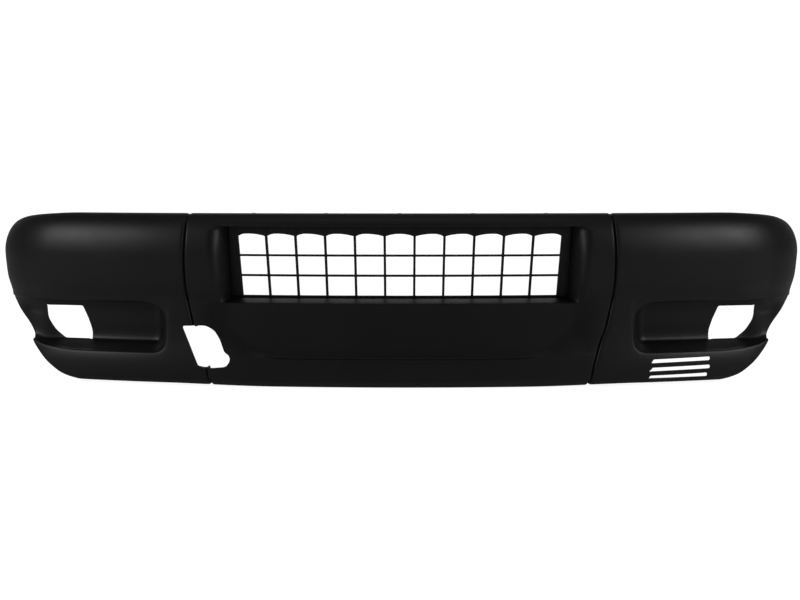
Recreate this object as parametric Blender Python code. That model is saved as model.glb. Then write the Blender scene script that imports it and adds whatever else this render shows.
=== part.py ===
"""Three-piece front bumper cover of a van, with its grille, brackets and fasteners.

Frame: +X to the right of someone facing the vehicle, -Y out of the front, +Z up, metres.
Origin: middle of the bounding box in X and Y, at the lower edge.

Most of the cover follows one plan curve, so shapes are laid out in the cover's own
coordinates: s runs along the plan curve from the middle, o goes inwards from it, z is height.
place() turns (s, o, z) into a point.
"""

import math

import bmesh
import bpy
from mathutils import Matrix, Vector

# Overall shape
HEIGHT = 0.400
DEPTH = 0.420
BOW_RADIUS = 2.500  # plan curve across the middle
CHEEK_RADIUS = 1.600  # plan curve from the joint to the corner
CORNER_RADIUS = 0.275
JOINT_HEADING = math.radians(11.5)  # plan heading where each stretch ends
CORNER_HEADING = math.radians(24.0)
SIDE_HEADING = math.radians(84.0)

# Moulding
WALL = 0.003
SHUT_LINE = 0.003
FIT_GAP = 0.0003  # between pieces that touch
EDGE_RADIUS = 0.005
CAP_EDGE_RADIUS = 0.008
JOINT_FLANGE = 0.024
ARCH_FLANGE = 0.012
FLANGE_END = 0.008  # how far a joint flange runs down where it meets the top and bottom flanges
FLANGE_STEP = 0.003  # the top and bottom flanges sit this much inside the edges, for the screw heads

# Section of the skin: crown above, tuck below it, chin at the bottom
CROWN_DROP = 0.100  # from the upper edge down to the foremost line of the crown
CROWN_DEPTH = 0.050
TOP_FLANGE = 0.030
TUCK_DEPTH = 0.018
TUCK_HEIGHT = 0.195
CHIN_HEIGHT = 0.045
CHIN_RADIUS = 0.018
BOTTOM_FLANGE = 0.034
SIDE_DROP = 0.027  # how much lower the upper edge is at the rear end
CAP_LIFT = 0.004  # how much higher the lower edge is on the end caps

# Grille duct and number plate panel of the centre cover
TOP_BAND = 0.031
LIP_HEIGHT = 0.192
DUCT_DEPTH = 0.075
DUCT_HALF = 0.408
DUCT_RISE = 0.0115  # of its floor, front to back
MOUTH_CORNER = 0.014
MOUTH_HALF_TOP = 0.449
MOUTH_HALF_BOTTOM = 0.434
PLATE_DEPTH = 0.012
SKIRT_HEIGHT = 0.064

# Grille insert
GRILLE_DEPTH = 0.016
GRILLE_LEAN = 0.022  # how much further forward its top is
GRILLE_COLUMNS = 11
GRILLE_ROWS = 3
GRILLE_BAR = 0.0058  # width of the upright bars
GRILLE_LEVEL_BAR = 0.0048
GRILLE_HALF_TOP = 0.3880
GRILLE_HALF_BOTTOM = 0.3810
GRILLE_HEAD = 0.0200  # height of the frame's upper bar
GRILLE_SILL = 0.0035

# Lamp recess of the end caps
RECESS_TOP = 0.1915
RECESS_LIP = 0.0735
RECESS_INNER = 0.546  # s of its inner end
RECESS_RAMP = 0.046
RECESS_DEPTH = 0.055
RECESS_FLOOR_RISE = 0.021
RECESS_CORNER = 0.070

LAMP_OUTLINE = (  # x, z and corner size
    (0.8525, 0.1760, 0.004),
    (0.7610, 0.1760, 0.004),
    (0.7465, 0.1460, 0.010),
    (0.7370, 0.1180, 0.010),
    (0.7365, 0.0975, 0.004),
    (0.8060, 0.0975, 0.006),
    (0.8305, 0.1160, 0.010),
    (0.8495, 0.1445, 0.012),
)

# Cooling slots of the left cap and tow-eye opening at the right joint
SLOTS = ((0.0175, 0.580, 0.723), (0.0360, 0.585, 0.730), (0.0550, 0.588, 0.730))  # z, start, end
SLOT_HEIGHT = 0.0088
SLOT_TILT = 0.018  # rise over length
TOW_EYE_OUTLINE = (  # distance to the right of the vehicle's middle, z and corner size
    (0.5060, 0.1380, 0.007),
    (0.4480, 0.1400, 0.012),
    (0.4280, 0.1270, 0.008),
    (0.4160, 0.1080, 0.008),
    (0.4050, 0.0790, 0.006),
    (0.3930, 0.0715, 0.006),
    (0.3910, 0.0600, 0.006),
    (0.4010, 0.0450, 0.008),
    (0.4380, 0.0415, 0.010),
    (0.4670, 0.0470, 0.004),
)

# Sheet steel pieces
STEEL = 0.0020
SEAM_BRACKET_DEPTH = 0.150  # of its foot, behind the front
FOOT_WIDTH = 0.046
BRACKET_BOTTOM = 0.206
BRACKET_TOP = 0.370
STIFFENER_HALF = 0.380
LEG = 0.026
STAY_WIDTH = 0.040
STAY_SPACING = 0.560
STAY_DEPTH = 0.120
STAY_HEIGHT = 0.085

# Fasteners
BOLT_RADIUS = 0.0030
BOLT_HEAD = 0.0050
BOLT_HEAD_HEIGHT = 0.0040
NUT_HEIGHT = 0.0050
HOLE_GAP = 0.0005
SCREW_RADIUS = 0.0024
SCREW_HEAD = 0.0055
SCREW_HEAD_HEIGHT = 0.0025
BOLT_HEIGHTS = (0.350, 0.308, 0.266, 0.224)
BOLT_INSET = 0.015  # from the skin to a bolt's middle
ROUND = 12  # sides of a bolt or nut
SCREW_ROUND = 8

# Plan curve, as (radius, heading at its end)
PLAN = (
    (BOW_RADIUS, JOINT_HEADING),
    (CHEEK_RADIUS, CORNER_HEADING),
    (CORNER_RADIUS, SIDE_HEADING),
)
FRONT_Y = -DEPTH / 2
CROWN_HEIGHT = HEIGHT - CROWN_DROP
MOUTH_TOP = HEIGHT - TOP_BAND
CORNER_S = BOW_RADIUS * JOINT_HEADING + CHEEK_RADIUS * (CORNER_HEADING - JOINT_HEADING)
SIDE_S = CORNER_S + CORNER_RADIUS * (SIDE_HEADING - CORNER_HEADING)


def smooth(points, t):
    """Value at t of a smooth curve through (t, value) points that never overshoots them."""
    if t <= points[0][0]:
        return points[0][1]
    if t >= points[-1][0]:
        return points[-1][1]
    slopes = [(b[1] - a[1]) / (b[0] - a[0]) for a, b in zip(points, points[1:])]
    tangents = [slopes[0]]
    for before, after in zip(slopes, slopes[1:]):
        tangents.append(2 * before * after / (before + after) if before * after > 0 else 0.0)
    tangents.append(slopes[-1])
    k = max(i for i in range(len(slopes)) if t >= points[i][0])
    (t0, v0), (t1, v1) = points[k], points[k + 1]
    width = t1 - t0
    u = (t - t0) / width
    return (
        v0 * (1 + 2 * u) * (1 - u) ** 2
        + tangents[k] * width * u * (1 - u) ** 2
        + v1 * u * u * (3 - 2 * u)
        + tangents[k + 1] * width * u * u * (u - 1)
    )


def ease(t):
    """0 to 1 with flat ends."""
    t = min(1.0, max(0.0, t))
    return t * t * (3 - 2 * t)


def mix(a, b, share):
    return a + (b - a) * share


def plan(s):
    """(x, depth behind the front, heading) of the plan curve at s, to the right of the middle."""
    x = depth = start = heading = 0.0
    for radius, end in PLAN:
        turn = min(s - start, radius * (end - heading)) / radius
        x += radius * (math.sin(heading + turn) - math.sin(heading))
        depth += radius * (math.cos(heading) - math.cos(heading + turn))
        start += radius * turn
        heading += turn
        if heading < end - 1e-9:
            return x, depth, heading
    x += (s - start) * math.cos(heading)
    depth += (s - start) * math.sin(heading)
    return x, depth, heading


def place(s, o, z):
    """Point of the cover's own coordinates in the frame; s is negative on the left."""
    x, depth, heading = plan(abs(s))
    x -= o * math.sin(heading)
    depth += o * math.cos(heading)
    return Vector((math.copysign(x, s), FRONT_Y + depth, z))


def rear_run():
    """The s of the rear end, where the inner edge of the top flange reaches the full depth."""
    _, depth, heading = plan(SIDE_S)
    flange = (CROWN_DEPTH + TOP_FLANGE) * math.cos(heading)
    return SIDE_S + (DEPTH - flange - depth) / math.sin(heading)


REAR_S = rear_run()


def seam(z):
    """s of the joint line at height z."""
    share = z / HEIGHT
    joint = BOW_RADIUS * JOINT_HEADING
    line = ((0, -0.062), (0.19, -0.043), (0.37, -0.015), (0.51, -0.002), (0.65, 0.0), (1, -0.001))
    return joint + smooth(line, share)


def arch(z):
    """s of the wheel arch edge at height z; above the arch it is the rear end."""
    line = (
        (0.000, SIDE_S - 0.352),
        (0.012, SIDE_S - 0.318),
        (0.038, SIDE_S - 0.278),
        (0.065, SIDE_S - 0.246),
        (0.100, SIDE_S - 0.222),
        (0.120, SIDE_S - 0.202),
        (0.146, SIDE_S - 0.158),
        (0.171, SIDE_S - 0.098),
        (0.190, SIDE_S - 0.040),
        (0.225, REAR_S),
    )
    return smooth(line, z)


def skin(z):
    """Depth o of the outer surface at height z."""
    if z >= CROWN_HEIGHT:
        share = min(1.0, (z - CROWN_HEIGHT) / CROWN_DROP)
        return CROWN_DEPTH * (1 - math.sqrt(1 - share * share))
    middle = (TUCK_HEIGHT + CHIN_HEIGHT) / 2
    line = (
        (CHIN_HEIGHT, 0.0),
        (middle, TUCK_DEPTH * 0.65),
        (TUCK_HEIGHT, TUCK_DEPTH),
        (mix(TUCK_HEIGHT, CROWN_HEIGHT, 0.4), TUCK_DEPTH * 0.35),
        (CROWN_HEIGHT, 0.0),
    )
    return smooth(line, z)


def trim(s, z):
    """Height z of the section after the upper edge falls round the side and the lower edge rises."""
    s = abs(s)
    if z > CROWN_HEIGHT:
        drop = smooth(((CORNER_S - 0.03, 0), (CORNER_S + 0.11, 0.26), (SIDE_S - 0.045, 0.7), (REAR_S, 1)), s)
        return z - SIDE_DROP * drop * (z - CROWN_HEIGHT) / CROWN_DROP
    if z < CHIN_HEIGHT:
        return z + CAP_LIFT * ease((s - 0.30) / 0.25) * (1 - z / CHIN_HEIGHT)
    return z


def crown(degrees):
    """(o, z) on the crown; 90 degrees is the upper edge and 0 the foremost line."""
    angle = math.radians(degrees)
    return CROWN_DEPTH * (1 - math.cos(angle)), CROWN_HEIGHT + CROWN_DROP * math.sin(angle)


def top_rows(angles):
    """Section rows from the rear of the top flange down the crown."""
    level = HEIGHT - FLANGE_STEP
    flange = [(CROWN_DEPTH + TOP_FLANGE, level), (CROWN_DEPTH + 0.006, level)]
    return flange + [crown(angle) for angle in angles]


def bottom_rows():
    """Section rows from the chin to the rear of the bottom flange."""
    half = CHIN_RADIUS * (1 - math.sqrt(0.5))
    return [
        (0.0, CHIN_RADIUS),
        (half, half),
        (CHIN_RADIUS, 0.0),
        (CHIN_RADIUS + 0.006, FLANGE_STEP),
        (CHIN_RADIUS + BOTTOM_FLANGE, FLANGE_STEP),
    ]


def fold_of(z, o, reach):
    """(do, dz) from an edge point of the section to the inner rim of its joint flange."""
    if z > CROWN_HEIGHT and o > CROWN_DEPTH + 0.001:
        return 0.0, -FLANGE_END
    if z >= CROWN_HEIGHT:
        angle = math.asin(min(1.0, (z - CROWN_HEIGHT) / CROWN_DROP))
        length = mix(reach, FLANGE_END * 1.4, ease(math.degrees(angle) / 80))
        return length * math.cos(angle), -length * math.sin(angle)
    if z > CHIN_RADIUS + 0.001:
        length = mix(CHIN_RADIUS, reach, ease((z - CHIN_RADIUS) / CHIN_RADIUS / 2))
        return min(length, reach), 0.0
    if o > CHIN_RADIUS - 0.001:
        return 0.0, FLANGE_END
    lean = math.atan2(CHIN_RADIUS - z, CHIN_RADIUS - o)
    length = mix(CHIN_RADIUS * 0.8, FLANGE_END, lean / (math.pi / 2))
    return length * math.cos(lean), length * math.sin(lean)


# ---------------------------------------------------------------------------
# Objects, materials and cutters


def clear_scene():
    for old in list(bpy.data.objects):
        bpy.data.objects.remove(old, do_unlink=True)


def material(name, colour, roughness, metallic=0.0):
    made = bpy.data.materials.new(name)
    made.use_nodes = True
    shader = made.node_tree.nodes["Principled BSDF"]
    shader.inputs["Base Color"].default_value = (*colour, 1.0)
    shader.inputs["Roughness"].default_value = roughness
    shader.inputs["Metallic"].default_value = metallic
    return made


def add(name, mesh_source, finish):
    """A new object from a bmesh, shaded smooth between faces that meet at under 35 degrees."""
    mesh = bpy.data.meshes.new(name)
    mesh_source.to_mesh(mesh)
    mesh_source.free()
    mesh.shade_smooth()
    mesh.set_sharp_from_angle(angle=math.radians(35))
    made = bpy.data.objects.new(name, mesh)
    bpy.context.scene.collection.objects.link(made)
    if finish:
        mesh.materials.append(finish)
    return made


def cutter(name, mesh_source):
    """A helper object that only serves in Booleans."""
    made = add(name, mesh_source, None)
    made.hide_render = True
    made.display_type = "WIRE"
    return made


def boolean(target, other, operation="DIFFERENCE"):
    step = target.modifiers.new(other.name, "BOOLEAN")
    step.operation = operation
    step.object = other
    step.solver = "EXACT"


def prism(outline, near, far):
    """Solid prism along Y over an (x, z) outline, between two y values."""
    bm = bmesh.new()
    face = bm.faces.new([bm.verts.new((x, near, z)) for x, z in outline])
    made = bmesh.ops.extrude_face_region(bm, geom=[face])["geom"]
    for vert in made:
        if isinstance(vert, bmesh.types.BMVert):
            vert.co.y = far
    bmesh.ops.recalc_face_normals(bm, faces=bm.faces)
    return bm


def rounded(corners, steps=4):
    """Outline of (x, z, radius) corners with each corner turned into an arc-like curve."""
    points = []
    count = len(corners)
    for k, (x, z, radius) in enumerate(corners):
        here = Vector((x, z))
        before = Vector(corners[k - 1][:2]) - here
        after = Vector(corners[(k + 1) % count][:2]) - here
        if radius <= 0:
            points.append((x, z))
            continue
        start = here + before.normalized() * min(radius, before.length * 0.49)
        end = here + after.normalized() * min(radius, after.length * 0.49)
        for step in range(steps + 1):
            t = step / steps
            point = start * (1 - t) ** 2 + here * 2 * t * (1 - t) + end * t * t
            points.append((point.x, point.y))
    return points


def cylinder(centre, axis, radius, length, sides=SCREW_ROUND):
    """Solid cylinder from centre along axis."""
    bm = bmesh.new()
    turn = Vector(axis).to_track_quat("Z", "Y").to_matrix().to_4x4()
    where = Matrix.Translation(Vector(centre) + Vector(axis).normalized() * length / 2) @ turn
    bmesh.ops.create_cone(
        bm, cap_ends=True, segments=sides, radius1=radius, radius2=radius, depth=length, matrix=where
    )
    return bm


def turned(name, profile, centre, axis, finish, sides=ROUND, flats=()):
    """Solid of revolution from (radius, height) points; rows in flats are made hexagonal."""
    bm = bmesh.new()
    rings = []
    for radius, height in profile:
        ring = []
        for k in range(sides):
            angle = 2 * math.pi * k / sides
            reach = radius
            if (radius, height) in flats:
                off = (angle % (math.pi / 3)) - math.pi / 6
                reach = radius * math.cos(math.pi / 6) / math.cos(off)
            ring.append(bm.verts.new((reach * math.cos(angle), reach * math.sin(angle), height)))
        rings.append(ring)
    bm.faces.new(rings[0])
    bm.faces.new(rings[-1])
    for low, high in zip(rings, rings[1:]):
        for k in range(sides):
            after = (k + 1) % sides
            bm.faces.new((low[k], low[after], high[after], high[k]))
    bmesh.ops.recalc_face_normals(bm, faces=bm.faces)
    made = add(name, bm, finish)
    made.location = centre
    made.rotation_mode = "QUATERNION"
    made.rotation_quaternion = Vector(axis).to_track_quat("Z", "Y")
    return made


def swept(sections):
    """Closed solid through a list of closed sections with the same number of points."""
    bm = bmesh.new()
    rings = [[bm.verts.new(point) for point in section] for section in sections]
    bm.faces.new(rings[0])
    bm.faces.new(rings[-1])
    count = len(rings[0])
    for low, high in zip(rings, rings[1:]):
        for k in range(count):
            after = (k + 1) % count
            bm.faces.new((low[k], low[after], high[after], high[k]))
    bmesh.ops.recalc_face_normals(bm, faces=bm.faces)
    return bm


def shell(name, points, finish, open_at=lambda i, j: False):
    """Wall of even thickness behind a grid of outer points, points[station][row].

    open_at says which grid faces are left out.
    """
    columns, rows = len(points), len(points[0])
    bm = bmesh.new()
    bmesh.ops.create_grid(bm, x_segments=columns - 1, y_segments=rows - 1, size=1)
    bm.verts.ensure_lookup_table()
    bm.faces.ensure_lookup_table()
    for i in range(columns):
        for j in range(rows):
            bm.verts[j * columns + i].co = points[i][j]
    gone = [
        bm.faces[j * (columns - 1) + i]
        for j in range(rows - 1)
        for i in range(columns - 1)
        if open_at(i, j)
    ]
    bmesh.ops.delete(bm, geom=gone, context="FACES")
    bm.normal_update()
    outward = sum(face.normal.y * face.calc_area() for face in bm.faces)
    if outward > 0:
        bmesh.ops.reverse_faces(bm, faces=bm.faces)
    made = add(name, bm, finish)
    wall = made.modifiers.new("wall", "SOLIDIFY")
    wall.thickness = WALL
    wall.offset = -1
    return made


# ---------------------------------------------------------------------------
# Centre cover


def mouth_half(z):
    """Half width of the grille mouth at height z, with its rounded upper corners."""
    z = min(MOUTH_TOP, max(LIP_HEIGHT, z))
    half = mix(MOUTH_HALF_BOTTOM, MOUTH_HALF_TOP, (z - LIP_HEIGHT) / (MOUTH_TOP - LIP_HEIGHT))
    turn = 1 - min(MOUTH_CORNER, MOUTH_TOP - z) / MOUTH_CORNER
    return half - MOUTH_CORNER * (1 - math.sqrt(1 - turn * turn))


def horn(share):
    """Depth share of the duct's side wall, which rolls inwards from the mouth like a horn."""
    return 1 - math.sqrt(1 - min(1.0, max(0.0, share)) ** 2)


def valley(s):
    """Height of the valley at the foot of the number plate panel."""
    line = (
        (0.27, SKIRT_HEIGHT + 0.003),
        (0.325, SKIRT_HEIGHT + 0.014),
        (0.360, SKIRT_HEIGHT + 0.034),
        (0.400, SKIRT_HEIGHT + 0.070),
        (0.455, LIP_HEIGHT - 0.020),
    )
    return smooth(line, abs(s))


def crease(s):
    """Height of the skirt's upper edge."""
    return SKIRT_HEIGHT + 0.013 * ease((abs(s) - 0.29) / 0.15)


def centre_rows(s, duct):
    """Rows (o, z) of the centre cover at s. duct is the depth share of the grille duct there."""
    radius = EDGE_RADIUS
    rows = top_rows((90, 72, 57))
    third = (MOUTH_TOP - LIP_HEIGHT) / 3
    sunk = PLATE_DEPTH * ease((0.470 - abs(s)) / 0.07)
    lip = skin(LIP_HEIGHT) + sunk
    square = ease(duct / 0.15)

    def back(z):
        return mix(skin(z), DUCT_DEPTH, duct)

    def edge(flat, deep, roll):
        """Edge row whose height goes from flat to deep as the duct starts."""
        z = mix(flat, deep, square)
        return min(skin(z) + roll * square, back(z)), z

    rows.append((skin(MOUTH_TOP + radius), MOUTH_TOP + radius))
    rows.append(edge(MOUTH_TOP + radius * 0.4, MOUTH_TOP + radius * 0.3, radius * 0.3))
    rows.append(edge(MOUTH_TOP - radius * 0.2, MOUTH_TOP, radius))
    rows.append(edge(MOUTH_TOP - radius, MOUTH_TOP, DUCT_DEPTH))
    for z in (MOUTH_TOP - MOUTH_CORNER, MOUTH_TOP - third, LIP_HEIGHT + third):
        rows.append((back(z), z))
    rows.append((back(LIP_HEIGHT + MOUTH_CORNER) + sunk * 0.4 * (1 - duct), LIP_HEIGHT + MOUTH_CORNER))
    deep = max(back(LIP_HEIGHT + radius), lip)
    rise = mix(radius * 0.35, DUCT_RISE, (deep - lip) / (DUCT_DEPTH - lip))
    rows.append((deep, LIP_HEIGHT + mix(radius, rise, square)))
    rows.append((lip + min(radius, (deep - lip) / 2), LIP_HEIGHT + radius * 0.3))
    rows.append((lip + radius * 0.2 * square, LIP_HEIGHT - radius * 0.2))
    rows.append((lip, LIP_HEIGHT - radius))
    low = valley(s)
    for share in (0.33, 0.67, 1.0):
        z = mix(LIP_HEIGHT - radius, low, share)
        rows.append((skin(z) + sunk, z))
    edge = crease(s)
    rows.append((skin(edge) + 0.0015, edge + 0.001))
    rows.append((skin(edge), edge - 0.004))
    rows += bottom_rows()
    return rows


def centre_cover(finish):
    """The middle moulding, from joint line to joint line."""
    inside = (0.0, 0.11, 0.21, 0.29, 0.36, DUCT_HALF)
    horns = (0.94, 0.72, 0.38, 0.0)
    outside = (0.5,)

    def station(kind, value, z):
        """(s, duct share, edge fold share) of a station at height z."""
        end = seam(z) - SHUT_LINE / 2
        mouth = min(mouth_half(z), mix(DUCT_HALF, end - EDGE_RADIUS, 0.6))
        if kind == "run":
            return value, 1.0, 0.0
        if kind == "horn":
            return mix(mouth, DUCT_HALF, value), horn(value), 0.0
        if kind == "skin":
            return mix(mouth, end - EDGE_RADIUS, value), 0.0, 0.0
        return end, 0.0, value

    kinds = [("run", v) for v in inside]
    kinds += [("horn", v) for v in horns]
    kinds += [("skin", v) for v in outside]
    kinds += [("skin", 1.0), ("round", 0.0), ("fold", 0.3), ("fold", 1.0)]
    half = []
    for kind, value in kinds:
        guess, duct, _ = station(kind, value, HEIGHT / 2)
        column = []
        for row, (_, z) in enumerate(centre_rows(guess, duct)):
            s, duct, _ = station(kind, value, z)
            o, z = centre_rows(s, duct)[row]
            fold = fold_of(z, o, JOINT_FLANGE)
            if kind == "round":
                unit = Vector(fold).normalized() * EDGE_RADIUS * 0.3
                s -= EDGE_RADIUS * 0.3
                o, z = o + unit.x, z + unit.y
            if kind == "fold":
                reach = Vector(fold)
                reach = reach if value == 1.0 else reach.normalized() * min(EDGE_RADIUS, reach.length * 0.8)
                o, z = o + reach.x, z + reach.y
            column.append((s, o, z))
        half.append(column)
    left = [[(-s, o, z) for s, o, z in column] for column in reversed(half[1:])]
    columns = left + half
    middle = len(left)
    reach = len(inside) - 1
    ceiling, floor = 8, 13

    def opening(i, j):
        return middle - reach <= i < middle + reach and ceiling <= j < floor

    points = [[place(s, o, trim(s, z)) for s, o, z in column] for column in columns]
    return shell("centre_cover", points, finish, opening)


# ---------------------------------------------------------------------------
# End caps


def recess_share(s):
    """Depth share of the lamp recess along the cap: it ramps up from its inner end."""
    return ease((s - RECESS_INNER) / RECESS_RAMP)


def recess_depth(s):
    """Depth of the lamp recess, which runs out towards the wheel arch as the skin turns away."""
    line = (
        (0.62, RECESS_DEPTH),
        (CORNER_S - 0.04, RECESS_DEPTH * 0.85),
        (CORNER_S + 0.01, RECESS_DEPTH * 0.70),
        (CORNER_S + 0.07, RECESS_DEPTH * 0.28),
        (CORNER_S + 0.11, RECESS_DEPTH * 0.10),
    )
    return smooth(line, s) * recess_share(s)


def recess_top(s):
    turn = min(1.0, max(0.0, (RECESS_INNER + RECESS_CORNER - s) / RECESS_CORNER))
    return RECESS_TOP - 0.058 * (1 - math.sqrt(1 - turn * turn))


def recess_lip(s):
    """Height of the lip under the recess: it turns up at the inner end and sweeps up at the corner."""
    turn = min(1.0, max(0.0, (RECESS_INNER + 0.045 - s) / 0.045))
    sweep = smooth(
        (
            (CORNER_S - 0.05, 0.0),
            (CORNER_S - 0.02, 0.003),
            (CORNER_S + 0.032, 0.010),
            (CORNER_S + 0.068, 0.020),
            (CORNER_S + 0.105, 0.038),
        ),
        s,
    )
    return RECESS_LIP + 0.030 * (1 - math.sqrt(1 - turn * turn)) + sweep


def cap_rows(s):
    """Rows (o, z) of an end cap at s."""
    radius = EDGE_RADIUS
    rows = top_rows((90, 72, 54, 36, 18, 0))
    rows += [(skin(z), z) for z in (mix(CROWN_HEIGHT, TUCK_HEIGHT, share) for share in (0.36, 0.68))]
    rows.append((skin(RECESS_TOP + 0.016), RECESS_TOP + 0.016))
    top, lip = recess_top(s), recess_lip(s)
    depth = recess_depth(s)
    cut = recess_share(s)
    floor = max(lip + 0.006, min(RECESS_LIP + RECESS_FLOOR_RISE, lip + RECESS_FLOOR_RISE))
    span = top - floor
    near = min(radius, span * 0.1)
    flat = [top + radius, top + near * 0.3, top - near * 0.6, top - near * 1.6, top - near * 2.6]
    flat += [mix(top, floor, 0.4), mix(top, floor, 0.68)]
    flat += [floor + near * 1.4, floor + near * 0.4, lip + radius * 0.6, lip, lip - radius]
    small = min(radius, depth * 0.3)
    deep = [
        (0.0, top + radius),
        (small * 0.3, top + radius * 0.3),
        (small, top),
        (max(small * 2, depth - radius), top - span * 0.02),
        (depth, top - radius * 1.5),
        (depth, flat[5]),
        (depth, flat[6]),
        (depth, floor + radius),
        (max(small * 2, depth - radius), floor),
        (small * 1.2, lip + radius * 0.7),
        (small * 0.25, lip - radius * 0.1),
        (0.0, lip - radius),
    ]
    for z, (into, height) in zip(flat, deep):
        height = mix(z, height, cut)
        rows.append((skin(height) + into, height))
    rows.append((skin(CHIN_HEIGHT), mix(CHIN_HEIGHT, RECESS_LIP, 0.1)))
    rows += bottom_rows()
    return rows


def cap_points(side):
    """Grid of outer points of an end cap; side is -1 on the left and 1 on the right."""
    near = (0.0, 0.45)
    fixed = (0.555, 0.566, RECESS_INNER + RECESS_RAMP, 0.610, 0.680, 0.760, 0.838)
    last = fixed[-1]
    shares = (0.14, 0.3, 0.46, 0.63, 0.82)
    kinds = [("fold", 1.0), ("fold", 0.3), ("round", 0.0)]
    kinds += [("near", v) for v in near]
    kinds += [("fixed", v) for v in (RECESS_INNER, *fixed)]
    kinds += [("far", v) for v in shares]
    kinds += [("far", 1.0), ("arch_round", 0.0), ("arch_fold", 1.0)]
    columns = []
    for kind, value in kinds:
        guess = {"near": 0.51, "fixed": value, "far": mix(last, arch(0.13), value)}.get(kind, 0.5)
        if kind.startswith("arch"):
            guess = arch(0.13)
        column = []
        for row, (_, z) in enumerate(cap_rows(guess)):
            start = seam(z) + SHUT_LINE / 2
            slope = (arch(z + 0.002) - arch(z - 0.002)) / 0.004
            arch_radius = EDGE_RADIUS * min(2.8, math.sqrt(1 + slope * slope))
            end = arch(z) - arch_radius
            bent = 0.61
            fixed_end = min(last, mix(bent, end, 0.8))
            if kind == "near":
                s = mix(start + CAP_EDGE_RADIUS, RECESS_INNER, value)
            elif kind == "fixed":
                s = value if value <= bent else mix(bent, fixed_end, (value - bent) / (last - bent))
            elif kind == "far":
                s = mix(fixed_end, end, value)
            elif kind.startswith("arch"):
                s = end
            else:
                s = start + CAP_EDGE_RADIUS
            o, z = cap_rows(s)[row]
            if kind in ("round", "fold"):
                s -= CAP_EDGE_RADIUS * (0.7 if kind == "round" else 1.0)
                step = CAP_EDGE_RADIUS * (0.3 if kind == "round" else 1.0)
                fold = Vector(fold_of(z, o, JOINT_FLANGE))
            if kind.startswith("arch"):
                s += arch_radius * (0.7 if kind == "arch_round" else 1.0)
                step = EDGE_RADIUS * 0.3
                fold = Vector(fold_of(z, o, ARCH_FLANGE))
            if kind in ("round", "fold") or kind.startswith("arch"):
                length = fold.length if value == 1.0 else min(step, fold.length * 0.8)
                fold = fold.normalized() * length
                o, z = o + fold.x, z + fold.y
            column.append(place(side * s, o, trim(s, z)))
        columns.append(column)
    return columns


def lamp_cutter(side):
    """Prism through the back wall of the recess, where the lamp shines out."""
    outline = rounded([(side * x, z, radius) for x, z, radius in LAMP_OUTLINE], 3)
    return cutter("cut_lamp_" + ("left" if side > 0 else "right"), prism(outline, FRONT_Y + 0.1, 0.1))


def slot_cutter(number, height, start, end):
    """Prism for one cooling slot, with a slanted inner end and a rounded outer one."""
    half = SLOT_HEIGHT / 2
    rise = SLOT_TILT * (end - start)
    corners = [
        (start - 0.003, height - half, 0.0025),
        (end, height - half + rise, half),
        (end, height + half + rise, half),
        (start + 0.003, height + half, 0.0025),
    ]
    return cutter(f"cut_slot_{number}", prism(rounded(corners, 2), FRONT_Y, FRONT_Y + 0.17))


def tow_eye_cutter():
    outline = rounded([(-x, z, radius) for x, z, radius in TOW_EYE_OUTLINE], 3)
    return cutter("cut_tow_eye", prism(outline, FRONT_Y - 0.05, FRONT_Y + 0.13))


def end_cap(name, side, finish):
    cap = shell(name, cap_points(side), finish)
    boolean(cap, lamp_cutter(side))
    return cap


# ---------------------------------------------------------------------------
# Grille insert


def grille_insert(finish):
    """Lattice at the back of the duct: a frame, upright bars and level bars in one moulding."""
    half = DUCT_HALF - 2 * FIT_GAP
    bottom = LIP_HEIGHT + DUCT_RISE + 2 * FIT_GAP
    top = MOUTH_TOP - 2 * FIT_GAP
    low, high = bottom + GRILLE_SILL, top - GRILLE_HEAD
    heights = [bottom, low]
    for row in range(1, GRILLE_ROWS):
        z = mix(low, high, row / GRILLE_ROWS)
        heights += [z - GRILLE_LEVEL_BAR / 2, z + GRILLE_LEVEL_BAR / 2]
    heights += [high, top]
    stations = [(-1, None)]
    for column in range(GRILLE_COLUMNS + 1):
        share = 2 * column / GRILLE_COLUMNS - 1
        sides = (-1, 1)
        if column == 0:
            sides = (1,)
        if column == GRILLE_COLUMNS:
            sides = (-1,)
        stations += [(share, side) for side in sides]
    stations.append((1, None))
    points = []
    for share, side in stations:
        line = []
        for z in heights:
            lean = (z - bottom) / (top - bottom)
            cell_half = mix(GRILLE_HALF_BOTTOM, GRILLE_HALF_TOP, (z - low) / (high - low))
            s = share * half if side is None else share * cell_half + side * GRILLE_BAR / 2
            line.append((s, DUCT_DEPTH - GRILLE_LEAN * lean - 0.004, z))
        points.append(line)
    columns, rows = len(points), len(heights)

    def solid(i, j):
        """Whether the lattice has material between stations i and i + 1, rows j and j + 1."""
        if not (0 <= i < columns - 1 and 0 <= j < rows - 1):
            return False
        return not (i % 2 == 1 and j % 2 == 1 and i < columns - 2 and j < rows - 2)

    bm = bmesh.new()
    front = [[bm.verts.new(place(*point)) for point in line] for line in points]
    rear = [[bm.verts.new(place(s, o + GRILLE_DEPTH, z)) for s, o, z in line] for line in points]
    for i in range(columns):
        for j in range(rows):
            if solid(i, j):
                for side in (front, rear):
                    bm.faces.new((side[i][j], side[i + 1][j], side[i + 1][j + 1], side[i][j + 1]))
            if i < columns - 1 and solid(i, j) != solid(i, j - 1):
                a, b = (i, j), (i + 1, j)
                bm.faces.new((front[a[0]][a[1]], front[b[0]][b[1]], rear[b[0]][b[1]], rear[a[0]][a[1]]))
            if j < rows - 1 and solid(i, j) != solid(i - 1, j):
                a, b = (i, j), (i, j + 1)
                bm.faces.new((front[a[0]][a[1]], front[b[0]][b[1]], rear[b[0]][b[1]], rear[a[0]][a[1]]))
    bmesh.ops.recalc_face_normals(bm, faces=bm.faces)
    return add("grille_insert", bm, finish)


# ---------------------------------------------------------------------------
# Sheet steel


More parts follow.
